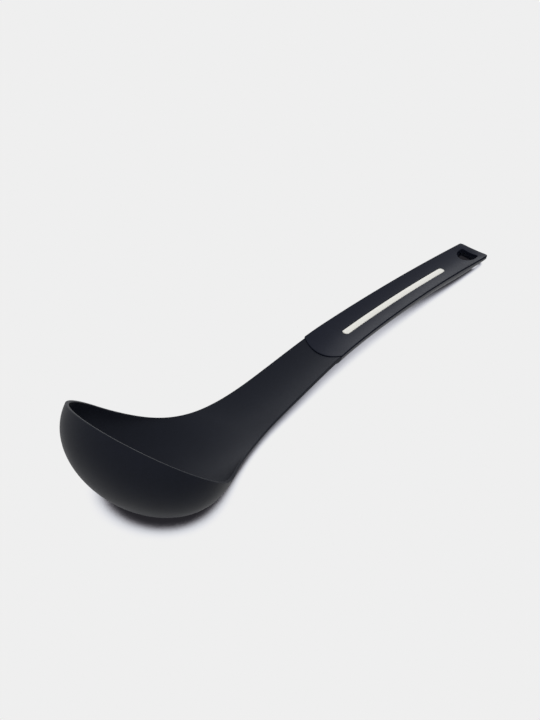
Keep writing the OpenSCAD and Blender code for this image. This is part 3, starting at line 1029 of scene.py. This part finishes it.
        rings = [self.hole_ring(out, lambda x, y: lines.top(x, y) + reach),
                 self.hole_ring(out, lambda x, y: lines.top(x, y) + lift)]
        for b in bends:
            drop = r * (1 - math.sin(b))
            rings.append(self.hole_ring(r * (1 - math.cos(b)),
                                        lambda x, y, d=drop: lines.top(x, y) - d))
        for b in reversed(bends):
            rise = r * (1 - math.sin(b))
            rings.append(self.hole_ring(r * (1 - math.cos(b)),
                                        lambda x, y, d=rise: below(x, y) + d))
        rings += [self.hole_ring(out, lambda x, y: below(x, y) - lift),
                  self.hole_ring(out, lambda x, y: -reach)]
        return stacked("hole_tool", rings)

    def capsule(self, name: str, margin: float, height: Callable[[float, float], float]) -> Object:
        """Makes a face with the stripe's round-ended outline.

        Args:
            name: The new object's name.
            margin: How far the outline lies outside the stripe's own.
            height: Gives the face's height at a place.

        Returns:
            The face.
        """
        radius = self.stripe_width / 2
        start = self.lines.front_x + self.stripe_from_front
        first, last = start + radius, start + self.stripe_length - radius
        reach, rows = radius + margin, []
        ends, run, wide = self.stripe_steps
        for i in range(-ends, run + ends + 1):
            row = []
            for j in range(wide + 1):
                v = 1 - 2 * j / wide
                k = max(0.0, -i / ends, (i - run) / ends)
                along = reach * k * math.sqrt(1 - v * v / 2)
                x = mix(first, last, min(1.0, max(0.0, i / run))) + (along if i > run else -along)
                y = reach * v * math.sqrt(1 - k * k / 2)
                row.append(self.lines.placed((x, y, height(x, y))))
            rows.append(row)
        return sheet(name, rows)

    def build_cover(self, material: Material) -> Object:
        """Makes the upper shell in its finish, and returns it."""
        lines = self.lines
        even = [i / self.rows for i in range(self.rows + 1)]
        top = self.skin("cover_top", even, self.cover_flat, 0.0,
                        lambda x, u: lines.edge(x) - lines.dish(x) * (1 - u * u))
        under = self.skin("cover_under", even, self.cover_flat, 0.0,
                          lambda x, u: lines.edge(x) - self.cover_under(x, u))
        piece = closed("grip_upper_shell", [top], [under])
        soften(piece, self.edge_round, self.round_over)
        floor = lines.dish_depth + self.stripe_depth
        recess = closed("recess_tool", [
            self.capsule("recess_top", self.stripe_clearance,
                         lambda x, y: lines.top(x, y) + self.recess_above),
        ], [
            self.capsule("recess_floor", self.stripe_clearance, lambda x, y: lines.edge(x) - floor),
        ])
        cut(piece, recess)
        cut(piece, self.hole_tool())
        return finished(piece, self.crisp_over, "grip_cover", material)

    def build_base(self, material: Material) -> Object:
        """Makes the lower shell in its finish, and returns it."""
        lines = self.lines
        top = self.skin("base_top", self.shares, 0.0, self.base_inset,
                        lambda x, u: lines.edge(x) - self.cover_under(x, u) - self.seam_gap)
        under = self.skin("base_under", self.shares, 0.0, self.base_inset, self.base_under)
        piece = closed("grip_lower_shell", [top], [under])
        room = self.channel_clearance
        channel = bar("channel_tool", lines.edge,
                      (lines.front_x - self.channel_before, lines.tang_end + room),
                      (self.channel_top, lines.tang_underside + room),
                      lines.tang_width + 2 * room, lines)
        cut(piece, channel)
        cut(piece, self.hole_tool())
        return finished(piece, self.crisp_over, "grip_base", material)

    def build_stripe(self, material: Material) -> Object:
        """Makes the stripe in its finish, and returns it."""
        lines, radius = self.lines, self.stripe_width / 2
        floor = lines.dish_depth + self.stripe_depth

        def crowned(x: float, y: float) -> float:
            """Returns the height of the stripe's gently crowned top."""
            return lines.edge(x) - lines.dish_depth + self.stripe_crown * (1 - (y / radius) ** 2)

        piece = closed("grip_stripe", [self.capsule("stripe_top", 0.0, crowned)],
                       [self.capsule("stripe_floor", 0.0, lambda x, y: lines.edge(x) - floor)])
        soften(piece, self.stripe_round, self.stripe_round_over)
        return finished(piece, self.stripe_crisp_over, "stripe_inlay", material)


# Setting


@dataclass
class Studio:
    """The pale table, the soft light and the camera."""

    camera_place: Point = (-524.61, -404.26, 524.03)
    camera_right: Point = (0.6443, -0.76454, 0.01889)
    camera_up: Point = (0.45739, 0.40502, 0.79168)
    focal_px: float = 1600.0
    image_height: int = 720
    sensor_mm: float = 36.0
    sight: Pair = (0.05, 20.0)
    table_size: float = 6.0
    table_colour: str = "EFEFEF"
    # The table's painted shadow: how far and how finely occlusion is read, and the area where it is
    # painted
    shadow_reach: float = 0.4
    shadow_samples: int = 64
    shadow_room: Point = (0.21, 0.1, 1.0)
    # Painted shade: a darker spot where the table shows through the hanging hole
    hole_shade: float = 0.35
    hole_shade_at: Point = (0.152, 0.004, 0.0)
    hole_shade_reach: Pair = (0.006, 0.009)
    # Painted shadow colours for occlusion values, under the bowl and, softer, under the handle
    bowl_shadow: Steps = (
        (0.27, "262529"), (0.31, "424145"), (0.336, "848288"), (0.357, "AFB0B6"),
        (0.388, "D1D3D9"), (0.42, "E3E4E8"), (0.45, "ECECEE"), (0.47, "EFEFEF"))
    handle_shadow: Steps = (
        (0.2, "262529"), (0.25, "56565C"), (0.29, "77787F"), (0.31, "999AA2"), (0.33, "ABACB4"),
        (0.35, "BCBDC5"), (0.37, "CBCCD3"), (0.39, "D7D8DE"), (0.41, "E2E3E7"), (0.45, "EFEFEF"))
    handle_from: Pair = (-0.075, -0.045)
    surround_tint: Point = (0.955, 0.985, 1.06)
    back_lamp: float = 0.3
    back_lamp_from: Point = (0.6, 0.75, 0.35)
    back_lamp_spread: float = math.radians(40)

    def ramp(self, tree: NodeTree, value: NodeSocket, steps: Steps) -> NodeSocket:
        """Adds a colour ramp that reads a value, and returns its colour output."""
        node = add_node(tree, "ShaderNodeValToRGB", {"Fac": value})
        elements = node.color_ramp.elements
        elements.remove(elements[1])
        elements[0].position, elements[0].color = steps[0][0], linear(steps[0][1])
        for place, colour in steps[1:]:
            elements.new(place).color = linear(colour)
        return node.outputs["Color"]

    def table(self) -> None:
        """Makes the table top, with the ladle's shadow painted on it."""
        deselect()
        bpy.ops.mesh.primitive_plane_add(size=self.table_size)
        top = bpy.context.object
        top.name = "table_top"
        made = bpy.data.materials.new("white_laminate_painted_shadow")
        tree = emptied(made)
        paper = add_node(tree, "ShaderNodeBsdfDiffuse", {"Color": linear(self.table_colour)})
        # What the eye sees is a painted shadow: an emitted colour, read from ramps of ambient
        # occlusion, darkens the table only where the ladle shuts out most of the surround. That
        # keeps its shadow close, as under a light tent.
        cover = add_node(tree, "ShaderNodeAmbientOcclusion", {"Distance": self.shadow_reach},
                         samples=self.shadow_samples)
        place = add_node(tree, "ShaderNodeTexCoord").outputs["Object"]
        axes = add_node(tree, "ShaderNodeSeparateXYZ", {"Vector": place})
        behind = ranged(tree, axes.outputs["X"], self.handle_from)
        # Painted shade under the hanging hole, taken off the occlusion before the ramps
        apart = add_node(tree, "ShaderNodeVectorMath", {0: place, 1: self.hole_shade_at},
                         operation="DISTANCE")
        hole = ranged(tree, apart.outputs["Value"], self.hole_shade_reach,
                      (-self.hole_shade, 0.0))
        openness_less_hole_shade = reckon(tree, "ADD", cover.outputs["AO"], hole)
        shade = add_node(tree, "ShaderNodeMix",
                         {0: behind, 6: self.ramp(tree, openness_less_hole_shade, self.bowl_shadow),
                          7: self.ramp(tree, openness_less_hole_shade, self.handle_shadow)},
                         data_type="RGBA")
        inside = add_node(tree, "ShaderNodeVectorMath", {0: place, 1: self.shadow_room},
                          operation="DIVIDE")
        away = add_node(tree, "ShaderNodeVectorMath", {0: inside.outputs["Vector"]},
                        operation="LENGTH")
        near = reckon(tree, "LESS_THAN", away.outputs["Value"], 1.0)
        shaded = add_node(tree, "ShaderNodeEmission", {"Color": shade.outputs[2]})
        plain = add_node(tree, "ShaderNodeEmission", {"Color": linear(self.table_colour)})
        seen = add_node(tree, "ShaderNodeMixShader", {0: near, 1: plain.outputs["Emission"],
                                                      2: shaded.outputs["Emission"]})
        path = add_node(tree, "ShaderNodeLightPath")
        direct = reckon(tree, "MAXIMUM", path.outputs["Is Camera Ray"],
                        path.outputs["Is Glossy Ray"])
        any_sight = reckon(tree, "MAXIMUM", direct, path.outputs["Is Transmission Ray"])
        both = add_node(tree, "ShaderNodeMixShader", {0: any_sight, 1: paper.outputs["BSDF"],
                                                      2: seen.outputs["Shader"]})
        add_node(tree, "ShaderNodeOutputMaterial", {"Surface": both.outputs["Shader"]})
        top.data.materials.append(made)

    def light(self) -> None:
        """Sets the white surround and a soft low lamp behind the ladle."""
        world = bpy.data.worlds.new("studio")
        bpy.context.scene.world = world
        tree = emptied(world)
        sky = add_node(tree, "ShaderNodeBackground",
                       {"Color": (*self.surround_tint, 1.0), "Strength": 1.0})
        add_node(tree, "ShaderNodeOutputWorld", {"Surface": sky.outputs["Background"]})
        deselect()
        bpy.ops.object.light_add(type="SUN")
        lamp = bpy.context.object
        lamp.name = "soft_back_lamp"
        lamp.data.energy = self.back_lamp
        lamp.data.angle = self.back_lamp_spread
        lamp.rotation_euler = Vector(self.back_lamp_from).to_track_quat("Z", "Y").to_euler()

    def camera(self) -> None:
        """Puts the camera where the photograph was taken from."""
        right, up = Vector(self.camera_right).normalized(), Vector(self.camera_up)
        back = right.cross(up).normalized()
        up = back.cross(right)
        turn = Matrix((right, up, back)).transposed().to_4x4()
        data = bpy.data.cameras.new("camera")
        data.sensor_fit = "VERTICAL"
        data.sensor_height = self.sensor_mm
        data.lens = self.focal_px / self.image_height * data.sensor_height
        data.clip_start, data.clip_end = self.sight
        eye = bpy.data.objects.new("camera", data)
        bpy.context.scene.collection.objects.link(eye)
        eye.matrix_world = Matrix.Translation(Vector(self.camera_place) * MM) @ turn
        bpy.context.scene.camera = eye

    def build(self) -> None:
        """Makes the whole setting."""
        self.table()
        self.light()
        self.camera()
        bpy.context.scene.view_settings.view_transform = "Standard"


def main() -> None:
    """Builds the ladle and its setting."""
    logging.basicConfig(level=logging.INFO, format="%(name)s %(message)s")
    lines = LadleLines()
    Studio().build()
    nylon, abs_black, abs_lower_bright, abs_cream = (
        finish.material() for finish in (BLACK_NYLON, BLACK_ABS, BLACK_ABS_LOWER_BRIGHT, CREAM_ABS))
    LadleHead(lines).build(nylon)
    grip = Grip(lines)
    grip.build_cover(abs_black)
    grip.build_base(abs_lower_bright)
    grip.build_stripe(abs_cream)


if __name__ == "__main__":
    main()
